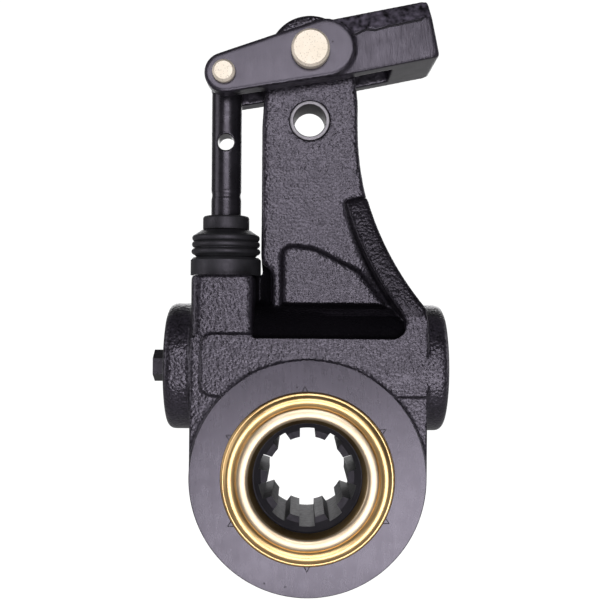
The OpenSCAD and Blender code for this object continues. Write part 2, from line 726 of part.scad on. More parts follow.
// Bellows with round ribs, seated in its band and gripping the link
module boot() {
    ribs = [for (i = [0 : boot_ribs - 1], k = [0 : rib_arc]) let (a = 180 * k / rib_arc)
        [boot_valley_r + (boot_rib_r - boot_valley_r) * sin(a), rib_z + (i + 0.5 - cos(a) / 2) * rib_step]];
    folds = [for (i = [boot_ribs - 1 : -1 : 0], side = [0.55, 0.45, 0])
        [(side > 0 ? boot_rib_r : boot_valley_r) - boot_wall, rib_z + (i + side) * rib_step]];
    grip_z = boot_top - boot_top_h;
    color("black") turned_z(concat(
        [[boot_seat_r, boot_foot], [boot_seat_r, rib_z - band_wall - seat_gap],
         [boot_valley_r, rib_z - band_wall - seat_gap]],
        ribs,
        [[boot_collar_r, grip_z], [boot_collar_r, boot_top - boot_collar_round],
         [boot_collar_r - boot_collar_round, boot_top], [boot_grip_r, boot_top],
         [boot_grip_r, grip_z + boot_wall], [boot_valley_r - boot_wall, grip_z]],
        folds,
        [[boot_valley_r - boot_wall, boot_foot]]));
}

module boot_band() color("black")
    turned_z([[boot_seat_r + seat_gap, column_top], [boot_r, column_top], [boot_r, rib_z - band_round],
              [boot_r - band_round, rib_z], [boot_valley_r + band_lip, rib_z],
              [boot_valley_r + band_lip, rib_z - band_wall], [boot_seat_r + seat_gap, rib_z - band_wall]]);

// Places the clevis frame: along the block, depth, across
module at_clevis() translate([0, 0, pin_z]) rotate([0, -clevis_tilt, 0]) children();

// Two ears on a slotted block that takes the push rod
module clevis() color("dimgray") difference() {
    union() {
        plate(ear_outline, -ear_out, ear_out);
        at_clevis() translate([block_from, 0, 0]) rotate([90, 0, 90])
            linear_extrude(block_len - block_from) polygon(block_section);
    }
    at_clevis() translate([-hub_d, -slot_half, -hub_d]) cube([hub_d + slot_end, 2 * slot_half, 2 * hub_d]);
    translate([0, 0, pin_z]) along_y(clevis_pin_d / 2 + seat_gap, -hub_w, hub_w);
    translate([link_pin_x, 0, link_pin_z]) along_y(link_pin_d / 2 + seat_gap, -hub_w, hub_w);
    at_clevis() rotate([0, 90, 0]) translate([0, 0, slot_end - cut])
        cylinder(h = block_len, r = rod_thread_d / 2);
}

// Headed pin through both ears, with a cross hole for its cotter
module headed_pin(d, head_d, height, hole) difference() {
    turned_y([[0, -ear_out - height], [head_d / 2 - chamfer, -ear_out - height],
              [head_d / 2, -ear_out - height + chamfer], [head_d / 2, -ear_out], [d / 2, -ear_out],
              [d / 2, ear_out + pin_tail - chamfer], [d / 2 - chamfer, ear_out + pin_tail],
              [0, ear_out + pin_tail]]);
    translate([0, ear_out + pin_tail / 2, -d]) cylinder(h = 2 * d, r = hole / 2 + seat_gap);
}

module clevis_pin() color("palegoldenrod") translate([0, 0, pin_z])
    headed_pin(clevis_pin_d, clevis_head_d, head_h, cotter_d);

module link_pin() color("palegoldenrod") translate([link_pin_x, 0, link_pin_z])
    headed_pin(link_pin_d, link_head_d, link_head_h, link_cotter_d);

// Cotter through a pin's tail: a ring above and a straight leg
module cotter(d, wire) translate([0, ear_out + pin_tail / 2, 0]) {
    translate([0, 0, -d / 2 - 3 * wire]) cylinder(h = d + 4 * wire, r = wire / 2);
    translate([0, 0, d / 2 + 2.6 * wire]) rotate([90, 0, 0])
        rotate_extrude() translate([1.5 * wire, 0]) circle(r = wire / 2);
}

module clevis_cotter() color("silver") translate([0, 0, pin_z]) cotter(clevis_pin_d, cotter_d);

module link_cotter() color("silver") translate([link_pin_x, 0, link_pin_z]) cotter(link_pin_d, link_cotter_d);

// Fitting in the back of the worm bore: shank, hex and nipple
module grease_fitting() color("silver") translate([fitting_x, cast_half, worm_z]) {
    along = fitting_r - seat_gap;
    turned_y([[0, -fitting_shank], [along, -fitting_shank], [along, 0], [0, 0]]);
    rotate([-90, 0, 0]) cylinder(h = fitting_hex_h, r = fitting_hex_r, $fn = 6);
    turned_y([[0, fitting_hex_h], [fitting_r, fitting_hex_h], [fitting_neck_r, fitting_neck_h],
              [fitting_neck_r, fitting_neck_h + 1], [fitting_r - 0.4, fitting_tip_h - 1.4],
              [fitting_neck_r, fitting_tip_h], [0, fitting_tip_h]]);
}

housing();
arm_bush_lower();
arm_bush_upper();
worm_wheel();
front_seal_cover();
rear_seal_cover();
front_seal();
rear_seal();
rear_cover();
worm_shaft();
clutch_drum();
clutch_spring();
pinion();
left_bearing();
right_bearing();
worm_seal();
left_cap();
right_cap();
thrust_washer();
thrust_spring();
shaft_ring();
rack();
link();
boot();
boot_band();
clevis();
clevis_pin();
clevis_cotter();
link_pin();
link_cotter();
grease_fitting();
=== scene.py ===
"""Brake slack adjuster: finishes, cast and forged surfaces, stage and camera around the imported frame."""

import math

import bmesh
import bpy
import numpy as np
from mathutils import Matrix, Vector


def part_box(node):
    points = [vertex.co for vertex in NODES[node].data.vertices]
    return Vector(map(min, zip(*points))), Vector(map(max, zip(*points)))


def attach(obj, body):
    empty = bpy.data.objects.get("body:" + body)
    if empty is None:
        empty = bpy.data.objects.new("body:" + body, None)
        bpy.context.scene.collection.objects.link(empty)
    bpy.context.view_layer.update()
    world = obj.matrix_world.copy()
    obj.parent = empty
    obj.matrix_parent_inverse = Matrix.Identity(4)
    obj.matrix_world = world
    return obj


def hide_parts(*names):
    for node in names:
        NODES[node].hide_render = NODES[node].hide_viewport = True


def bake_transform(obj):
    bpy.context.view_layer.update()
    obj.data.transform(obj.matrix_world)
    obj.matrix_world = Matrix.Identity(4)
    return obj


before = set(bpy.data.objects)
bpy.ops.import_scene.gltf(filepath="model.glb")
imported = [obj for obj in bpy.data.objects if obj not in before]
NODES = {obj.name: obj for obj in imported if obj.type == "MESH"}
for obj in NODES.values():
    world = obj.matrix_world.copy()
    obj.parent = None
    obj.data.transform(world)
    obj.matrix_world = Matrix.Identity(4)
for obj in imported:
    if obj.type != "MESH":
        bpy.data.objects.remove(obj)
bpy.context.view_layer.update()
MM = 0.001
QUARTER_TURN = [math.radians(angle) for angle in (0, 30, 60, 90)]

# Photograph frame and camera, in the part's own millimetres
IMAGE_PX = 600
FOCAL_PX = 895.3
SENSOR_MM = 36.0
CAMERA_X = -3.36
CAMERA_Z = 68.1
CAMERA_DISTANCE = 366.0
CAMERA_ROLL_DEG = -0.44

# Places read from the frame, in metres
HUB_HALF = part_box("housing")[1][1]
HUB_R = -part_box("housing")[0][2]
COVER_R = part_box("front_seal_cover")[1][0]
PIN_Z = sum(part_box("clevis_pin")[k][2] for k in (0, 1)) / 2
BUSH_Z = sum(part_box("arm_bush_lower")[k][2] for k in (0, 1)) / 2
BUSH_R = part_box("arm_bush_lower")[1][0]
RACK_X = sum(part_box("link")[k][0] for k in (0, 1)) / 2
RACK_Y = sum(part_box("link")[k][1] for k in (0, 1)) / 2
ROD_R = (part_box("link")[1][0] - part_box("link")[0][0]) / 2


# Materials

def math_node(tree, operation, first, second):
    """Output of a math node on two values, each a number or another node's output."""
    made = tree.nodes.new("ShaderNodeMath")
    made.operation = operation
    for socket, value in zip(made.inputs, (first, second)):
        if isinstance(value, (int, float)):
            socket.default_value = value
        else:
            tree.links.new(value, socket)
    return made.outputs["Value"]


class Nodes:
    """A material's node tree with short calls for the nodes used here."""

    def __init__(self, name):
        self.material = bpy.data.materials.new(name)
        self.material.use_nodes = True
        self.tree = self.material.node_tree
        self.shader = self.tree.nodes["Principled BSDF"]
        self.coords = self.tree.nodes.new("ShaderNodeTexCoord").outputs["Object"]

    def add(self, kind, **values):
        made = self.tree.nodes.new(kind)
        for key, value in values.items():
            setattr(made, key, value)
        return made

    def link(self, out, into):
        self.tree.links.new(out, into)

    def math(self, operation, first, second):
        return math_node(self.tree, operation, first, second)

    def mixed(self, first, second, share):
        """A share of the first value with the rest from the second."""
        return self.math("ADD", self.math("MULTIPLY", first, share), self.math("MULTIPLY", second, 1 - share))

    def scaled(self, scale):
        """Object coordinates scaled on each axis."""
        mapping = self.add("ShaderNodeMapping")
        mapping.inputs["Scale"].default_value = scale
        self.link(self.coords, mapping.inputs["Vector"])
        return mapping.outputs["Vector"]

    def noise(self, size, detail=4.0, rough=0.55, stretch=(1, 1, 1)):
        """Noise whose blotches are about size metres across."""
        made = self.add("ShaderNodeTexNoise")
        made.inputs["Scale"].default_value = 1.0
        made.inputs["Detail"].default_value = detail
        made.inputs["Roughness"].default_value = rough
        self.link(self.scaled([s / size for s in stretch]), made.inputs["Vector"])
        return made.outputs["Fac"]

    def pebbles(self, size, smoothness=0.5):
        """Rounded grains about size metres across, highest in their middle."""
        made = self.add("ShaderNodeTexVoronoi", feature="SMOOTH_F1")
        made.inputs["Scale"].default_value = 1.0
        made.inputs["Smoothness"].default_value = smoothness
        self.link(self.scaled([1 / size] * 3), made.inputs["Vector"])
        return self.math("SUBTRACT", 1.0, made.outputs["Distance"])

    def specks(self, size, radius, share, core=0.6):
        """1 in scattered small spots: one in each cell of that size, kept for a share of the cells."""
        made = self.add("ShaderNodeTexVoronoi")
        made.inputs["Scale"].default_value = 1.0
        self.link(self.scaled([1 / size] * 3), made.inputs["Vector"])
        pick = self.add("ShaderNodeSeparateColor")
        self.link(made.outputs["Color"], pick.inputs["Color"])
        kept = self.math("LESS_THAN", pick.outputs["Red"], share)
        spot = self.span(made.outputs["Distance"], 1.0, 0.0, radius * core, radius)
        return self.math("MULTIPLY", kept, spot)

    def over(self, colour, top, share):
        """A colour laid over another where share is 1."""
        made = self.add("ShaderNodeMix", data_type="RGBA")
        self.link(share, made.inputs["Factor"])
        self.link(colour, made.inputs["A"])
        made.inputs["B"].default_value = (*top, 1)
        return made.outputs["Result"]

    def ramp(self, value, low, high, start=0.35, end=0.65):
        """Colour ramp between two colours."""
        made = self.add("ShaderNodeValToRGB")
        for element, position, colour in zip(made.color_ramp.elements, (start, end), (low, high)):
            element.position = position
            element.color = (*colour, 1)
        self.link(value, made.inputs["Fac"])
        return made.outputs["Color"]

    def span(self, value, low, high, start=0.3, end=0.7):
        """Value mapped from start..end to low..high."""
        made = self.add("ShaderNodeMapRange")
        for key, number in (("From Min", start), ("From Max", end), ("To Min", low), ("To Max", high)):
            made.inputs[key].default_value = number
        self.link(value, made.inputs["Value"])
        return made.outputs["Result"]

    def bump(self, height, distance, strength=1.0, below=None):
        """Bump of that height in metres, on top of another one."""
        made = self.add("ShaderNodeBump")
        made.inputs["Distance"].default_value = distance
        made.inputs["Strength"].default_value = strength
        self.link(height, made.inputs["Height"])
        if below is not None:
            self.link(below, made.inputs["Normal"])
        return made.outputs["Normal"]

    def finish(self, colour, rough, normal=None, metallic=0.0, specular=0.5, tint=(1, 1, 1)):
        """Connects colour, roughness and bump, and sets what is the same all over."""
        self.link(colour, self.shader.inputs["Base Color"])
        self.link(rough, self.shader.inputs["Roughness"])
        if normal is not None:
            self.link(normal, self.shader.inputs["Normal"])
        self.shader.inputs["Metallic"].default_value = metallic
        self.shader.inputs["Specular IOR Level"].default_value = specular
        self.shader.inputs["Specular Tint"].default_value = (*tint, 1)
        return self.material


SHEEN = (0.90, 0.82, 1.0)
INK = (0.004, 0.0036, 0.0045)
CAST_DARK = (0.003, 0.0026, 0.0036)
SATIN_DARK = (0.008, 0.007, 0.010)
PAINT_LIGHT = (0.030, 0.026, 0.036)
SPOT_SHADE = 0.72


def cast_paint(name, grain=0.0012, depth=0.00018, rough_low=0.26, rough_high=0.36, light=1.0, specular=0.57):
    """Semi-gloss black paint over pebbled cast skin."""
    n = Nodes(name)
    blotch = n.noise(size=0.018, detail=3.0)
    fine = n.noise(size=grain * 0.65, detail=1.0, rough=0.5)
    pebble = n.pebbles(grain)
    coarse = n.noise(size=grain * 4, detail=2.0, rough=0.5)
    high = [light * c for c in PAINT_LIGHT]
    colour = n.ramp(n.mixed(blotch, fine, share=0.35), CAST_DARK, high, start=0.36, end=0.68)
    rough = n.span(n.mixed(fine, coarse, share=0.6), rough_low, rough_high)
    normal = n.bump(coarse, depth, strength=0.8)
    normal = n.bump(pebble, depth, below=normal)
    normal = n.bump(fine, depth * 0.8, below=normal)
    return n.finish(colour, rough, normal, specular=specular, tint=SHEEN)


def satin_paint(name, rough_low, rough_high, streak=(1, 1, 0.12), mark_depth=0.000020, specular=0.5):
    """Smooth satin black over a machined or pressed face, with smears, fine marks and a few dark nicks."""
    n = Nodes(name)
    smear = n.noise(size=0.022, rough=0.6)
    patch = n.noise(size=0.006, detail=3.0)
    marks = n.noise(size=0.0011, detail=3.0, rough=0.6, stretch=streak)
    nicks = n.specks(size=0.0042, radius=0.085, share=0.16)
    paint_colour = n.ramp(n.mixed(smear, marks, share=0.6), SATIN_DARK, PAINT_LIGHT, start=0.3, end=0.7)
    colour = n.over(paint_colour, INK, nicks)
    rough = n.span(n.mixed(patch, marks, share=0.6), rough_low, rough_high)
    normal = n.bump(marks, mark_depth, strength=0.6)
    normal = n.bump(patch, 0.00006, strength=0.5, below=normal)
    normal = n.bump(nicks, -0.00008, strength=0.8, below=normal)
    return n.finish(colour, rough, normal, specular=specular, tint=SHEEN)


def plated(name, dark, light, rough_low, rough_high, scratch=0.00002, spots=0.0):
    """Plated metal with faint blotches, fine scratches and, where given, dull spots."""
    n = Nodes(name)
    blotch = n.noise(size=0.010)
    fine = n.noise(size=0.0009, detail=3.0, rough=0.6, stretch=(1, 0.15, 1))
    colour = n.ramp(blotch, dark, light, start=0.3, end=0.7)
    rough = n.span(n.mixed(blotch, fine, share=0.5), rough_low, rough_high)
    if spots:
        dull = [SPOT_SHADE * c for c in dark]
        colour = n.over(colour, dull, n.specks(size=0.0005, radius=0.45, share=spots))
    return n.finish(colour, rough, n.bump(fine, scratch, strength=0.6), metallic=1.0)


def satin_black(name, dark, light, rough_low, rough_high, grain=0.0016, depth=0.00005, specular=0.5):
    """Black rubber, plastic or smooth painted steel."""
    n = Nodes(name)
    blotch = n.noise(size=0.010, detail=3.0)
    fine = n.noise(size=grain, detail=3.0)
    colour = n.ramp(blotch, dark, light)
    rough = n.span(fine, rough_low, rough_high)
    return n.finish(colour, rough, n.bump(fine, depth, strength=0.7), specular=specular, tint=SHEEN)


CAST = cast_paint("cast_black")
# Darker copies of the cast paint: painted shade on the front rib, and deeper painted shade in the pocket and
# notch
RIB_PAINTED_SHADE = cast_paint("cast_rib_painted_shade", light=0.5, specular=0.30)
HOLLOW_PAINTED_SHADE = cast_paint("cast_hollow_painted_shade", light=0.15, specular=0.10)
FORGED = cast_paint("forged_black", grain=0.0034, depth=0.00034, rough_low=0.28, rough_high=0.44)
# Lighter, high-contrast copy of the forged paint: painted light and glints on the block's upward facet
FACET_PAINTED_LIGHT = cast_paint("facet_painted_light", grain=0.0034, depth=0.00045, light=3.4)
MACHINED = satin_paint("machined_black", 0.24, 0.32, specular=0.66)
EAR_FACE = satin_paint("ear_satin", 0.27, 0.34)
BLOCK_FACE = satin_paint("block_streaked", 0.26, 0.44, streak=(1, 1, 0.14), mark_depth=0.00030)
GOLD = plated("yellow_zinc", (0.54, 0.35, 0.155), (0.64, 0.44, 0.22), 0.31, 0.37, scratch=0.0)
# Paler copy on the inner roll is a painted highlight; dark brown copy on the turned-in eye is painted shade
GOLD_ROLL_HIGHLIGHT = plated("zinc_roll_painted_highlight", (0.46, 0.36, 0.25), (0.55, 0.44, 0.33), 0.37, 0.43, scratch=0.0)
GOLD_EYE_SHADE = plated("zinc_eye_painted_shade", (0.17, 0.11, 0.05), (0.25, 0.18, 0.09), 0.45, 0.55, scratch=0.0)
PALE = plated("pale_zinc", (0.78, 0.70, 0.60), (0.92, 0.84, 0.75), 0.60, 0.72, spots=0.26)
STEEL = plated("bare_steel", (0.40, 0.39, 0.42), (0.58, 0.57, 0.60), 0.38, 0.52)
BUSH_RIM = plated("bush_rim", (0.17, 0.16, 0.18), (0.27, 0.255, 0.28), 0.46, 0.58)
# Darker copy of the bush steel: painted shade inside the bore
BUSH_BORE_SHADE = plated("bush_bore_painted_shade", (0.090, 0.083, 0.088), (0.150, 0.140, 0.148), 0.55, 0.70)
BRONZE = plated("bearing_bronze", (0.42, 0.27, 0.12), (0.58, 0.40, 0.20), 0.30, 0.45)
DARK_STEEL = satin_black("phosphated_steel", (0.005, 0.005, 0.006), (0.011, 0.0105, 0.012), 0.48, 0.62,
                         specular=0.3)
SMOOTH_PAINT = satin_black("smooth_black", (0.006, 0.0055, 0.007), (0.012, 0.011, 0.014), 0.26, 0.36)
RUBBER = satin_black("black_rubber", (0.010, 0.010, 0.011), (0.018, 0.018, 0.020), 0.44, 0.58)

NODE_MATERIALS = {
    CAST: ("rear_cover", "left_cap", "right_cap"),
    GOLD: ("front_seal_cover", "rear_seal_cover"),
    PALE: ("clevis_pin", "link_pin"),
    STEEL: ("arm_bush_lower", "arm_bush_upper", "clutch_drum", "clutch_spring", "pinion", "thrust_washer",
            "thrust_spring", "shaft_ring", "rack", "clevis_cotter", "link_cotter", "grease_fitting"),
    BRONZE: ("left_bearing", "right_bearing"),
    DARK_STEEL: ("worm_wheel",),
    SMOOTH_PAINT: ("link", "worm_shaft"),
    RUBBER: ("boot", "boot_band", "front_seal", "rear_seal", "worm_seal"),
}


def paint(obj, material):
    obj.data.materials.clear()
    obj.data.materials.append(material)


for material, names in NODE_MATERIALS.items():
    for name in names:
        for place in NODES[name].material_slots:
            place.material = material


# Meshes

def linked(name, data):
    """A new object in the scene."""
    obj = bpy.data.objects.new(name, data)
    bpy.context.scene.collection.objects.link(obj)
    return obj


def new_piece(name, mesh, material, body):
    """Links a finished mesh as a piece of the object."""
    obj = linked(name, mesh)
    paint(obj, material)
    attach(obj, body)
    return obj


def smooth(mesh, angle_deg=50):
    """Smooth shading with sharp edges over an angle."""
    mesh.shade_smooth()
    mesh.set_sharp_from_angle(angle=math.radians(angle_deg))


def welded_copy(node):
    """A copy of a node's mesh with its split edges joined."""
    mesh = NODES[node].data.copy()
    work = bmesh.new()
    work.from_mesh(mesh)
    bmesh.ops.remove_doubles(work, verts=work.verts, dist=1e-6)
    work.to_mesh(mesh)
    work.free()
    return mesh


def modified(mesh, kind, **settings):
    """The mesh as a modifier remakes it."""
    holder = linked("mesh_work", mesh)
    modifier = holder.modifiers.new(kind, kind)
    for key, value in settings.items():
        setattr(modifier, key, value)
    made = bpy.data.meshes.new_from_object(holder.evaluated_get(bpy.context.evaluated_depsgraph_get()))
    bpy.data.objects.remove(holder)
    return made


def voxelled(mesh, voxel):
    """The mesh remade from small voxels."""
    return modified(mesh, "REMESH", mode="VOXEL", voxel_size=voxel)


def thinned(mesh, ratio):
    """The mesh with fewer faces."""
    return modified(mesh, "DECIMATE", ratio=ratio)


def points_of(mesh):
    flat = np.empty(len(mesh.vertices) * 3)
    mesh.vertices.foreach_get("co", flat)
    return flat.reshape(-1, 3)


def set_points(mesh, points):
    mesh.vertices.foreach_set("co", points.ravel())
    mesh.update()


def moved(mesh, x=0.0, y=0.0, z=0.0):
    for vertex in mesh.vertices:
        vertex.co += Vector((x, y, z))
    return mesh


def relaxed(mesh, rounds, weight):
    """Rounds edges by moving each vertex towards its neighbours, as far as weight(points) lets it."""
    points = points_of(mesh)
    pairs = np.empty(len(mesh.edges) * 2, dtype=np.int64)
    mesh.edges.foreach_get("vertices", pairs)
    a, b = pairs[0::2], pairs[1::2]
    count = np.maximum(np.bincount(np.concatenate([a, b]), minlength=len(points)), 1)
    share = 0.5 * weight(points)[:, None]
    for _ in range(rounds):
        mean = np.stack([np.bincount(a, points[b, k], len(points)) + np.bincount(b, points[a, k], len(points))
                         for k in range(3)], axis=1) / count[:, None]
        points = points + share * (mean - points)
    set_points(mesh, points)


def faced(mesh, materials, pick):
    """Gives each face the material that pick(centres, normals) numbers."""
    count = len(mesh.polygons)
    centres, normals = np.empty(count * 3), np.empty(count * 3)
    mesh.polygons.foreach_get("center", centres)
    mesh.polygons.foreach_get("normal", normals)
    mesh.materials.clear()
    for material in materials:
        mesh.materials.append(material)
    mesh.polygons.foreach_set("material_index", pick(centres.reshape(-1, 3), normals.reshape(-1, 3)))


def mesh_from(work, name):
    """A finished bmesh as a named mesh."""
    mesh = bpy.data.meshes.new(name)
    work.to_mesh(mesh)
    work.free()
    return mesh


def lathe(name, profile, axis="Y", steps=160):
    """Closed profile of (radius, height) turned about the Y or Z axis."""
    work = bmesh.new()
    rings = []
    for i in range(steps):
        a = 2 * math.pi * i / steps
        c, s = math.cos(a), math.sin(a)
        rings.append([work.verts.new((r * c, h, r * s) if axis == "Y" else (r * c, r * s, h))
                      for r, h in profile])
    for i in range(steps):
        for k in range(len(profile)):
            n = (k + 1) % len(profile)
            work.faces.new((rings[i][k], rings[i][n], rings[(i + 1) % steps][n], rings[(i + 1) % steps][k]))
    bmesh.ops.recalc_face_normals(work, faces=work.faces)
    return mesh_from(work, name)


def spline(points, steps=6):
    """Smooth line through points."""
    line = []
    for i in range(len(points) - 1):
        p0, p1, p2, p3 = (points[min(max(k, 0), len(points) - 1)] for k in (i - 1, i, i + 1, i + 2))
        for k in range(steps):
            t = k / steps
            line.append(tuple(0.5 * (2 * b + (c - a) * t + (2 * a - 5 * b + 4 * c - d) * t * t
                                     + (3 * b - a - 3 * c + d) * t ** 3)
                              for a, b, c, d in zip(p0, p1, p2, p3)))
    return line + [points[-1]]


def sheet(points, thick):
    """Closed outline of a sheet whose outer side runs through the points."""
    inner = []
    for i, (r, h) in enumerate(points):
        before, after = points[max(i - 1, 0)], points[min(i + 1, len(points) - 1)]
        along = Vector((after[0] - before[0], after[1] - before[1])).normalized()
        inner.append((r + along.y * thick, h - along.x * thick))
    return points + inner[::-1]


def add_wire(work, start, end, radius, end_radius, extra=0.0):
    """A thin round wire from start to end, and a little longer where asked, in an open bmesh."""
    along = end - start
    made = bmesh.ops.create_cone(work, cap_ends=True, segments=8, radius1=radius, radius2=end_radius,
                                 depth=along.length + extra)
    turn = along.to_track_quat("Z", "Y").to_matrix().to_4x4()
    turn.translation = (start + end) / 2
    bmesh.ops.transform(work, matrix=turn, verts=made["verts"])


# Cast housing: soft edges everywhere but at machined holes and faces. Lengths without MM are millimetres.
CAST_VOXEL = 0.4 * MM
CAST_FACES = 0.25
CAST_ROUNDS = 9
ARM_ROUNDS = 42
ARM_FROM = 60.0
ARM_FADE = 3.0
HOLE_MARGIN = 0.4 * MM
HOLE_KEEP = 0.1
HUB_MARGIN = 1 * MM
HUB_DEPTH = 0.4 * MM
HUB_KEEP = 0.15
PAD_KEEP = 0.12

# Left boss and front face: the face stands clear of the boss, which the worm tube would break through
COLUMN_LEFT = RACK_X / MM - 12.0
COLUMN_SLACK = 0.2
PAD_LEFT = COLUMN_LEFT + 4.4
WORM_Z = 41.0
BOSS_REACH = 26.0
BOSS_FLAT = 0.90
FRAME_FRONT = -24.0
PAD_FRONT = -25.2
PAD_UNTIL = 30.0
PAD_CRISP = 0.9
PAD_CRISP_DEEP = 1
PAD_CRISP_HIGH = 9.0

# Notch between the rack column and the arm's foot, worked into the flat web there
NOTCH_X = (-21.7, -14.5)
NOTCH_Z = (66.0, 84.0)
NOTCH_DEEP = 6.0
WEB_FRONT = -4.5
WEB_SLACK = 0.8

# Arm's left edge, moved out between the boot and the clevis
ARM_OUT = 0.8
ARM_OUT_FROM = -10.0
ARM_OUT_ALL = -17.0
ARM_OUT_Z = (78.0, 82.0, 138.0, 150.0)
ARM_OUT_SHARE = (0, 1, 1, 0)

# Painted shade: a darker, duller copy of the cast paint on the front rib, and a near-black copy in the pocket
# above the worm tube and in the notch
RIB_FROM_X = 10.0
RIB_FROM_Z = 62.0
ARM_FRONT = -9.4
POCKET_X = (-21.4, 41.0)
POCKET_Z = (52.9, 68.0)
POCKET_UP = 0.25
NOTCH_SKIN = 0.3


def cast_weight(points):
    """1 on cast skin, little close to the bush holes, the hub faces and the pad's left edge."""
    keep = np.ones(len(points))
    for z in (BUSH_Z, PIN_Z):
        keep[np.hypot(points[:, 0], points[:, 2] - z) < BUSH_R + HOLE_MARGIN] = HOLE_KEEP
    x, y, z = points.T / MM
    pad_edge = (np.abs(x - PAD_LEFT) < PAD_CRISP) & (np.abs(z - WORM_Z) < PAD_CRISP_HIGH)
    keep[pad_edge & (y < FRAME_FRONT + PAD_CRISP_DEEP)] = PAD_KEEP
    on_hub = np.hypot(points[:, 0], points[:, 2]) < HUB_R + HUB_MARGIN
    keep[on_hub & (np.abs(points[:, 1]) > HUB_HALF - HUB_DEPTH)] = HUB_KEEP
    return keep


def arm_weight(points):
    """Cast skin of the arm alone, whose edges are rounder."""
    return cast_weight(points) * np.clip((points[:, 2] / MM - ARM_FROM) / ARM_FADE, 0, 1)


def notched(mesh):
    """Slopes the web's front face back into the corner of the column."""
    points = points_of(mesh) / MM
    across = (points[:, 0] - NOTCH_X[0]) / (NOTCH_X[1] - NOTCH_X[0])
    inside = (across > 0) & (across < 1) & (points[:, 2] > NOTCH_Z[0]) & (points[:, 2] < NOTCH_Z[1])
    inside &= np.abs(points[:, 1] - WEB_FRONT) < WEB_SLACK
    points[inside, 1] += NOTCH_DEEP * (1 - across[inside])
    set_points(mesh, points * MM)


def boss_set_back(mesh):
    """Sets the left boss back from the front face and flattens the face where the tube swells through it."""
    points = points_of(mesh) / MM
    x, y, z = points.T
    tube = (np.abs(z - WORM_Z) < BOSS_REACH) & (y < 0)
    off_hub = np.hypot(x, z) > (HUB_R + HUB_MARGIN) / MM
    y[tube & (x < COLUMN_LEFT - COLUMN_SLACK)] *= BOSS_FLAT
    frame_face = tube & off_hub & (x >= COLUMN_LEFT - COLUMN_SLACK) & (x < PAD_LEFT)
    y[frame_face] = np.maximum(y[frame_face], FRAME_FRONT)
    pad_face = tube & off_hub & (x >= PAD_LEFT) & (x < PAD_UNTIL)
    y[pad_face] = np.maximum(y[pad_face], PAD_FRONT)
    set_points(mesh, points * MM)


def arm_widened(mesh):
    """Moves the arm's left edge a little out between the boot and the clevis."""
    points = points_of(mesh) / MM
    side = np.clip((points[:, 0] - ARM_OUT_FROM) / (ARM_OUT_ALL - ARM_OUT_FROM), 0, 1)
    side[points[:, 0] < NOTCH_X[0]] = 0
    points[:, 0] -= ARM_OUT * side * np.interp(points[:, 2], ARM_OUT_Z, ARM_OUT_SHARE)
    set_points(mesh, points * MM)


def cast_finish(centres, normals):
    """1 on the front rib (painted shade), 2 in the pocket above the worm tube and in the notch (deeper
    painted shade), 0 elsewhere.
    """
    x, y, z = centres.T / MM
    finish = np.zeros(len(centres), dtype=np.int32)
    finish[(x > RIB_FROM_X) & (z > RIB_FROM_Z) & (y < ARM_FRONT)] = 1
    pocket = (x > POCKET_X[0]) & (x < POCKET_X[1]) & (z > POCKET_Z[0]) & (z < POCKET_Z[1])
    finish[pocket & (y < 0) & (normals[:, 2] > POCKET_UP) & (finish == 0)] = 2
    notch = (x > NOTCH_X[0]) & (x < NOTCH_X[1]) & (z > POCKET_Z[0]) & (z < NOTCH_Z[1])
    finish[notch & (y > WEB_FRONT - NOTCH_SKIN) & (y < 0) & (normals[:, 1] < 0)] = 2
    return finish


casting = voxelled(welded_copy("housing"), CAST_VOXEL)
notched(casting)
boss_set_back(casting)
arm_widened(casting)
relaxed(casting, CAST_ROUNDS, cast_weight)
relaxed(casting, ARM_ROUNDS, arm_weight)
casting = thinned(casting, CAST_FACES)
smooth(casting)
housing_skin = new_piece("cast_housing", casting, CAST, "housing")
faced(casting, (CAST, RIB_PAINTED_SHADE, HOLLOW_PAINTED_SHADE), cast_finish)
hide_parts("housing")

# Machined ring on the front of the hub
RING_LIFT = 0.06 * MM
RING_BEVEL = 0.35 * MM
RING_DEEP = 1.5 * MM
RING_OUT = HUB_R + 0.02 * MM
RING_IN = COVER_R + 0.08 * MM
RING_FACE = -HUB_HALF - RING_LIFT
front_ring = lathe("hub_ring_front", [
    (RING_OUT, -HUB_HALF + RING_DEEP), (RING_OUT, RING_FACE + RING_BEVEL), (RING_OUT - RING_BEVEL, RING_FACE),
    (RING_IN, RING_FACE), (RING_IN, -HUB_HALF + RING_DEEP)])
smooth(front_ring, angle_deg=30)
new_piece("hub_ring_front", front_ring, MACHINED, "housing")

# Forged clevis. Its block is tilted 11.5 degrees; lengths without MM are millimetres.
CLEVIS_VOXEL = 0.5 * MM
CLEVIS_FACES = 0.5
CLEVIS_ROUNDS = 6
CLEVIS_COS = 0.98
CLEVIS_SIN = 0.199
CLEVIS_UP = np.array((-CLEVIS_SIN, 0, CLEVIS_COS))
PIN_MARGIN = 8 * MM
PIN_KEEP = 0.2
END_REACH = 2.4
END_ROUNDS = 24

# Finishes of the clevis: smooth faces within a small depth, facets by the way they face, with painted light
# on the upward facet
EAR_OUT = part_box("clevis")[1][1]
BLOCK_OUT = EAR_OUT - 1.9 * MM
FACE_DEPTH = 0.45 * MM
FACE_NORMAL = 0.9
UNDER_FROM = 10.0
FACET_UP = 0.37
FACET_SPREAD = 0.16
FACET_OUT = 0.8


def forged_weight(points):
    """1 on forged skin, little around the pin's hole."""
    keep = np.ones(len(points))
    keep[np.hypot(points[:, 0], points[:, 2] - PIN_Z) < PIN_MARGIN] = PIN_KEEP
    return keep


def along_clevis(points):
    """Distance from the clevis pin along the block."""
    return points[:, 0] * CLEVIS_COS + (points[:, 2] - PIN_Z) * CLEVIS_SIN


def end_weight(points):
    """1 at the block's far end alone, whose edges are rounder."""
    along = along_clevis(points)
    return (along > along.max() - END_REACH * MM).astype(float)


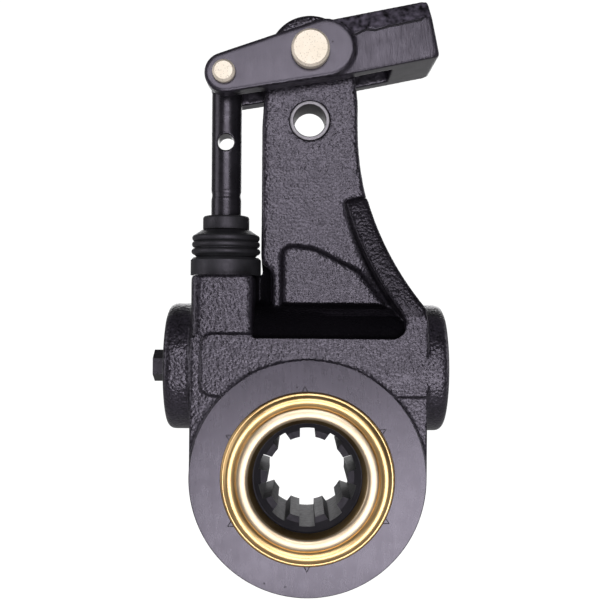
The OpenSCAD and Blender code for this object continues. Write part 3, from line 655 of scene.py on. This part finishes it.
def clevis_finish(centres, normals):
    """1 on the ears' outer faces and the underside, 2 on the block's front and back, 3 on its upward facets,
    which get the lighter paint copy as painted light.
    """
    out, facing = np.abs(centres[:, 1]), np.abs(normals[:, 1])
    up = normals @ CLEVIS_UP
    on_block = along_clevis(centres) > UNDER_FROM * MM
    finish = np.zeros(len(centres), dtype=np.int32)
    finish[(facing > FACE_NORMAL) & (out > BLOCK_OUT - FACE_DEPTH)] = 2
    finish[(facing > FACE_NORMAL) & (out > EAR_OUT - FACE_DEPTH)] = 1
    finish[on_block & (np.abs(up - FACET_UP) < FACET_SPREAD) & (facing > FACET_OUT)] = 3
    finish[on_block & (-up > FACE_NORMAL)] = 1
    return finish


forging = voxelled(welded_copy("clevis"), CLEVIS_VOXEL)
relaxed(forging, CLEVIS_ROUNDS, forged_weight)
relaxed(forging, END_ROUNDS, end_weight)
forging = thinned(forging, CLEVIS_FACES)
smooth(forging)
clevis_skin = new_piece("forged_clevis", forging, FORGED, "clevis")
faced(forging, (FORGED, EAR_FACE, BLOCK_FACE, FACET_PAINTED_LIGHT), clevis_finish)
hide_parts("clevis")

# Forging seam under the facet on the block's front: (along the block, up from its axis), in millimetres
SEAM_LINE = [(17.0, 3.3), (18.1, 2.9), (21.1, 3.7), (23.0, 4.1), (26.3, 3.2), (29.2, 3.4),
             (32.1, 3.7), (35.7, 3.6), (40.3, 3.7), (44.5, 3.6), (45.7, 4.4)]
SEAM_R = 0.42 * MM


def seam():
    """Thin dark line lying half sunk in the front face."""
    work = bmesh.new()
    places = [Vector((u * CLEVIS_COS - w * CLEVIS_SIN, -BLOCK_OUT / MM,
                      PIN_Z / MM + u * CLEVIS_SIN + w * CLEVIS_COS)) * MM for u, w in SEAM_LINE]
    for start, end in zip(places, places[1:]):
        add_wire(work, start, end, SEAM_R, SEAM_R, extra=SEAM_R)
    return mesh_from(work, "forging_seam")


new_piece("forging_seam", seam(), DARK_STEEL, "clevis")

# Bushes of the arm holes, with rounded rims and painted shade in the bore
BUSH_BORE_R = 6.4 * MM
BUSH_EDGE = 0.35 * MM


def bush_finish(centres, _normals):
    """1 on the bore, which gets a darker copy of the steel as painted shade, 0 elsewhere."""
    return (np.hypot(centres[:, 0], centres[:, 2]) < BUSH_BORE_R + BUSH_EDGE / 2).astype(np.int32)


for node in ("arm_bush_lower", "arm_bush_upper"):
    low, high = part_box(node)
    outer, half = (high[0] - low[0]) / 2, high[1]
    rim = [(BUSH_BORE_R + BUSH_EDGE * (1 - math.cos(a)), half - BUSH_EDGE * (1 - math.sin(a)))
           for a in QUARTER_TURN]
    rim += [(outer - BUSH_EDGE * (1 - math.sin(a)), half - BUSH_EDGE * (1 - math.cos(a)))
            for a in QUARTER_TURN]
    bush = lathe(node, rim + [(r, -y) for r, y in rim[::-1]], steps=96)
    faced(bush, (BUSH_RIM, BUSH_BORE_SHADE), bush_finish)
    moved(bush, z=(low[2] + high[2]) / 2)
    smooth(bush)
    piece = linked(node + "_turned", bush)
    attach(piece, "housing")
    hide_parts(node)

# Link rod with soft shoulders
ROD_VOXEL = 0.3 * MM
ROD_ROUNDS = 10
ROD_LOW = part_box("boot")[1][2] + 4 * MM
ROD_HIGH = ROD_LOW + 12 * MM
GROOVE_DEEP = 0.9 * MM
GROOVE_FILL = 0.6


def rod_shaped(mesh):
    """Shallower grooves at the rod's shoulder."""
    points = points_of(mesh)
    off = points[:, :2] - (RACK_X, RACK_Y)
    radius = np.hypot(*off.T)
    groove = (points[:, 2] > ROD_LOW) & (points[:, 2] < ROD_HIGH)
    groove &= (radius > ROD_R - GROOVE_DEEP) & (radius < ROD_R)
    points[groove, :2] += off[groove] * (GROOVE_FILL * (ROD_R - radius[groove]) / radius[groove])[:, None]
    set_points(mesh, points)


rod = voxelled(welded_copy("link"), ROD_VOXEL)
rod_shaped(rod)
relaxed(rod, ROD_ROUNDS, lambda points: np.ones(len(points)))
smooth(rod)
rod_skin = new_piece("link_rod", rod, SMOOTH_PAINT, "link")
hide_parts("link")

# Pressed seal covers, in millimetres: outer lip and roll, groove, inner roll, turned-in eye.
# Each point is (radius, height above the hub face).
COVER_LINE = [(32.85, -0.8), (32.75, 0.45), (32.4, 0.8), (31.9, 0.85), (31.3, 1.2), (30.7, 1.55),
              (30.1, 1.68), (29.4, 1.62), (28.6, 1.32), (28.0, 0.95), (27.6, 0.70), (27.25, 0.80),
              (26.7, 1.18), (26.0, 1.39), (25.2, 1.46), (24.4, 1.42), (23.7, 1.24), (23.1, 0.82),
              (22.6, 0.15), (22.1, -0.8), (21.5, -2.1)]
COVER_SHEET = 0.5
ROLL_R = 26.9
EYE_R = 22.7


def cover_finish(centres, _normals):
    """0 on the outer roll, 1 on the inner roll with a paler copy as painted highlight, 2 on the turned-in eye
    with a dark copy as painted shade.
    """
    reach = np.hypot(centres[:, 0], centres[:, 2])
    return (reach < ROLL_R * MM).astype(np.int32) + (reach < EYE_R * MM)


cover_line = [(r * MM, -h * MM) for r, h in spline(COVER_LINE)]
front_cover = moved(lathe("front_cover", sheet(cover_line, -COVER_SHEET * MM)), y=-HUB_HALF)
smooth(front_cover, angle_deg=60)
cover_skin = new_piece("front_cover_sheet", front_cover, GOLD, "housing")
faced(front_cover, (GOLD, GOLD_ROLL_HIGHLIGHT, GOLD_EYE_SHADE), cover_finish)
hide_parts("front_seal_cover")
rear_cover = front_cover.copy()
for vertex in rear_cover.vertices:
    vertex.co.y *= -1
rear_cover.flip_normals()
rear_skin = new_piece("rear_cover_sheet", rear_cover, GOLD, "housing")
faced(rear_cover, (GOLD, GOLD_ROLL_HIGHLIGHT, GOLD_EYE_SHADE), cover_finish)
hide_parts("rear_seal_cover")

# Stake marks on the hub face, each a fine V that points outwards, drawn as dark strokes that paint the shade
# in the punched dents
STAKE_ANGLES = (92, 33, -28, -90, -149, 152)
STAKE_R = 33.2 * MM
STAKE_LONG = 2.1 * MM
STAKE_WIDE = 1.0 * MM
STAKE_WIRE = 0.21 * MM
STAKE_TAPER = 0.6


def stake_shade_strokes():
    """The marks' thin dark strokes, painted shade of the dents, half sunk in the hub's ring."""
    work = bmesh.new()
    face = Vector((0, RING_FACE, 0))
    for angle in STAKE_ANGLES:
        a = math.radians(angle)
        out, side = Vector((math.cos(a), 0, math.sin(a))), Vector((-math.sin(a), 0, math.cos(a)))
        tip = face + out * (STAKE_R + STAKE_LONG)
        for sign in (-1, 1):
            foot = face + out * STAKE_R + side * sign * STAKE_WIDE
            add_wire(work, foot, tip, STAKE_WIRE, STAKE_WIRE * STAKE_TAPER)
    return mesh_from(work, "stake_painted_shade")


new_piece("stake_painted_shade", stake_shade_strokes(), RUBBER, "housing")

# Bellows boot: ribs and cone, and the collar on the rod
BOOT_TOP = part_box("boot")[1][2]
BOOT_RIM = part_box("boot_band")[1][2]
BOOT_R = (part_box("boot_band")[1][0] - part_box("boot_band")[0][0]) / 2
BOOT_WALL = 1.2 * MM
BOOT_FREE = 0.8 * MM
BOOT_STEPS = 96
GRIP_R = ROD_R + 0.05 * MM
RIB_LOW = BOOT_RIM
RIB_HIGH = BOOT_TOP - 5.7 * MM
RIB_MIDDLES = (0.22, 0.48, 0.71)
RIB_RADII = (BOOT_R - 0.25 * MM, BOOT_R - 0.45 * MM, BOOT_R - 0.55 * MM)
RIB_HALF = 0.125
RIB_ANGLES = range(-75, 76, 15)
FOOT_R = BOOT_R - 2.5 * MM
FOOT_Z = RIB_LOW - 1.2 * MM
FOOT_TUCK = 0.6 * MM
CREASE_R = BOOT_R - 1.9 * MM
CONE_DROP = 1.6 * MM
COLLAR_R = GRIP_R + 3.2 * MM
COLLAR_EDGE = 1.0 * MM
COLLAR_LIFT = 0.25 * MM
COLLAR_STEP = 0.5 * MM


def boot_profile():
    """Outer line of the ribs and the cone above them, closed by the inner line."""
    high = RIB_HIGH - RIB_LOW
    outer = [(FOOT_R - FOOT_TUCK, FOOT_Z), (FOOT_R, RIB_LOW)]
    for middle, radius in zip(RIB_MIDDLES, RIB_RADII):
        for a in map(math.radians, RIB_ANGLES):
            outer.append((CREASE_R + (radius - CREASE_R) * math.cos(a),
                          RIB_LOW + (middle + RIB_HALF * math.sin(a)) * high))
    outer.append((COLLAR_R + COLLAR_STEP, RIB_HIGH))
    inner = [(GRIP_R + BOOT_FREE, RIB_HIGH), (CREASE_R - BOOT_WALL, RIB_HIGH - CONE_DROP),
             (FOOT_R - BOOT_WALL, FOOT_Z)]
    return outer + inner


def collar_profile():
    """Section of the collar that grips the rod."""
    low = RIB_HIGH + COLLAR_LIFT
    line = [(GRIP_R, low), (COLLAR_R - COLLAR_LIFT, low), (COLLAR_R, low + COLLAR_LIFT),
            (COLLAR_R, BOOT_TOP - COLLAR_EDGE)]
    line += [(COLLAR_R - COLLAR_EDGE * (1 - math.cos(a)), BOOT_TOP - COLLAR_EDGE * (1 - math.sin(a)))
             for a in QUARTER_TURN[1:]]
    return line + [(GRIP_R, BOOT_TOP)]


boot_mesh = moved(lathe("bellows", boot_profile(), "Z", BOOT_STEPS), RACK_X, RACK_Y)
smooth(boot_mesh)
boot_skin = linked("bellows", boot_mesh)
paint(boot_skin, RUBBER)
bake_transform(boot_skin)
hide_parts("boot")
collar_mesh = moved(lathe("boot_collar", collar_profile(), "Z", BOOT_STEPS), RACK_X, RACK_Y)
smooth(collar_mesh)
new_piece("boot_collar", collar_mesh, RUBBER, "link")


# Stage, light and camera, in metres and watts
FLOOR_BASE = 0.12
FLOOR_LIGHT = 0.05
FLOOR_GLOSSY = 0.27
FLOOR_CLOUD = 1.02
WORLD_LIGHT = 0.03
WORLD_GLOSSY = 0.05
WHITE = (1, 1, 1, 1)
FLOOR_Z = -0.13
BACK_Y = 0.9
STAGE_HALF = 1.6
STAGE_TOP = 1.6
STAGE_FRONT = -0.25
SWEEP_R = 0.3
SWEEP_STEPS = 12
AIM = (0, 0, 0.07)

# Each lamp's place, width and height, and power
SOFTBOXES = {
    "front_high": ((0.04, -1.00, 0.37), (0.62, 0.28), 4.8),
    "front_low": ((0.10, -1.00, -0.31), (0.62, 0.40), 6.5),
    "left_fill": ((-0.95, -0.25, 0.20), (0.50, 0.8), 2.6),
    "right_fill": ((0.95, 0.15, 0.25), (0.50, 0.8), 2.0),
    "back": ((0.0, 0.80, 0.35), (0.8, 0.4), 2.4),
}


def seen_white(tree, dim, glossy):
    """Strength that is 1 as the background of a view, lower in reflections and dim as light."""
    path = tree.nodes.new("ShaderNodeLightPath").outputs
    plain = math_node(tree, "MAXIMUM", path["Is Camera Ray"], path["Is Transmission Ray"])
    shiny = math_node(tree, "MULTIPLY", path["Is Glossy Ray"], glossy)
    return math_node(tree, "MAXIMUM", math_node(tree, "MAXIMUM", plain, shiny), dim)


def pale_material(name, base, dim):
    """Pale matt surface that is white as a background."""
    n = Nodes(name)
    cloud = n.noise(size=0.5, detail=2.0)
    n.finish(n.ramp(cloud, [base] * 3, [base * FLOOR_CLOUD] * 3), n.span(cloud, 0.85, 0.95))
    n.shader.inputs["Emission Color"].default_value = WHITE
    n.link(seen_white(n.tree, dim, FLOOR_GLOSSY), n.shader.inputs["Emission Strength"])
    return n.material


def sweep():
    """Floor that curves up into a backdrop."""
    line = [(STAGE_FRONT, FLOOR_Z), (BACK_Y - SWEEP_R, FLOOR_Z)]
    for k in range(1, SWEEP_STEPS):
        a = math.pi / 2 * k / SWEEP_STEPS
        line.append((BACK_Y - SWEEP_R * (1 - math.sin(a)), FLOOR_Z + SWEEP_R * (1 - math.cos(a))))
    line += [(BACK_Y, FLOOR_Z + SWEEP_R), (BACK_Y, STAGE_TOP)]
    points = [(x, y, z) for y, z in line for x in (-STAGE_HALF, STAGE_HALF)]
    faces = [(2 * i, 2 * i + 1, 2 * i + 3, 2 * i + 2) for i in range(len(line) - 1)]
    mesh = bpy.data.meshes.new("sweep")
    mesh.from_pydata(points, [], faces)
    mesh.shade_smooth()
    return mesh


def world_light():
    """White as a background, dim as light."""
    world = bpy.data.worlds.new("studio")
    bpy.context.scene.world = world
    world.use_nodes = True
    tree = world.node_tree
    back = tree.nodes["Background"]
    tree.links.new(seen_white(tree, WORLD_LIGHT, WORLD_GLOSSY), back.inputs["Strength"])
    back.inputs["Color"].default_value = WHITE


def softbox(name, place, size, power):
    """Rectangular area lamp aimed at the part."""
    lamp = bpy.data.lights.new(name, "AREA")
    lamp.shape = "RECTANGLE"
    lamp.size, lamp.size_y = size
    lamp.energy = power
    obj = linked(name, lamp)
    obj.location = place
    obj.rotation_euler = (Vector(AIM) - Vector(place)).to_track_quat("-Z", "Y").to_euler()


floor = linked("floor", sweep())
paint(floor, pale_material("pale_floor", FLOOR_BASE, FLOOR_LIGHT))
world_light()
for name, (place, size, power) in SOFTBOXES.items():
    softbox(name, place, size, power)

camera = bpy.data.cameras.new("camera")
camera.sensor_width = SENSOR_MM
camera.lens = FOCAL_PX / IMAGE_PX * SENSOR_MM
camera.clip_start = 0.01
camera_obj = linked("camera", camera)
camera_obj.location = (CAMERA_X * MM, -CAMERA_DISTANCE * MM, CAMERA_Z * MM)
camera_obj.rotation_euler = (math.radians(90), math.radians(CAMERA_ROLL_DEG), 0)
bpy.context.scene.camera = camera_obj
bpy.context.scene.view_settings.view_transform = "Standard"
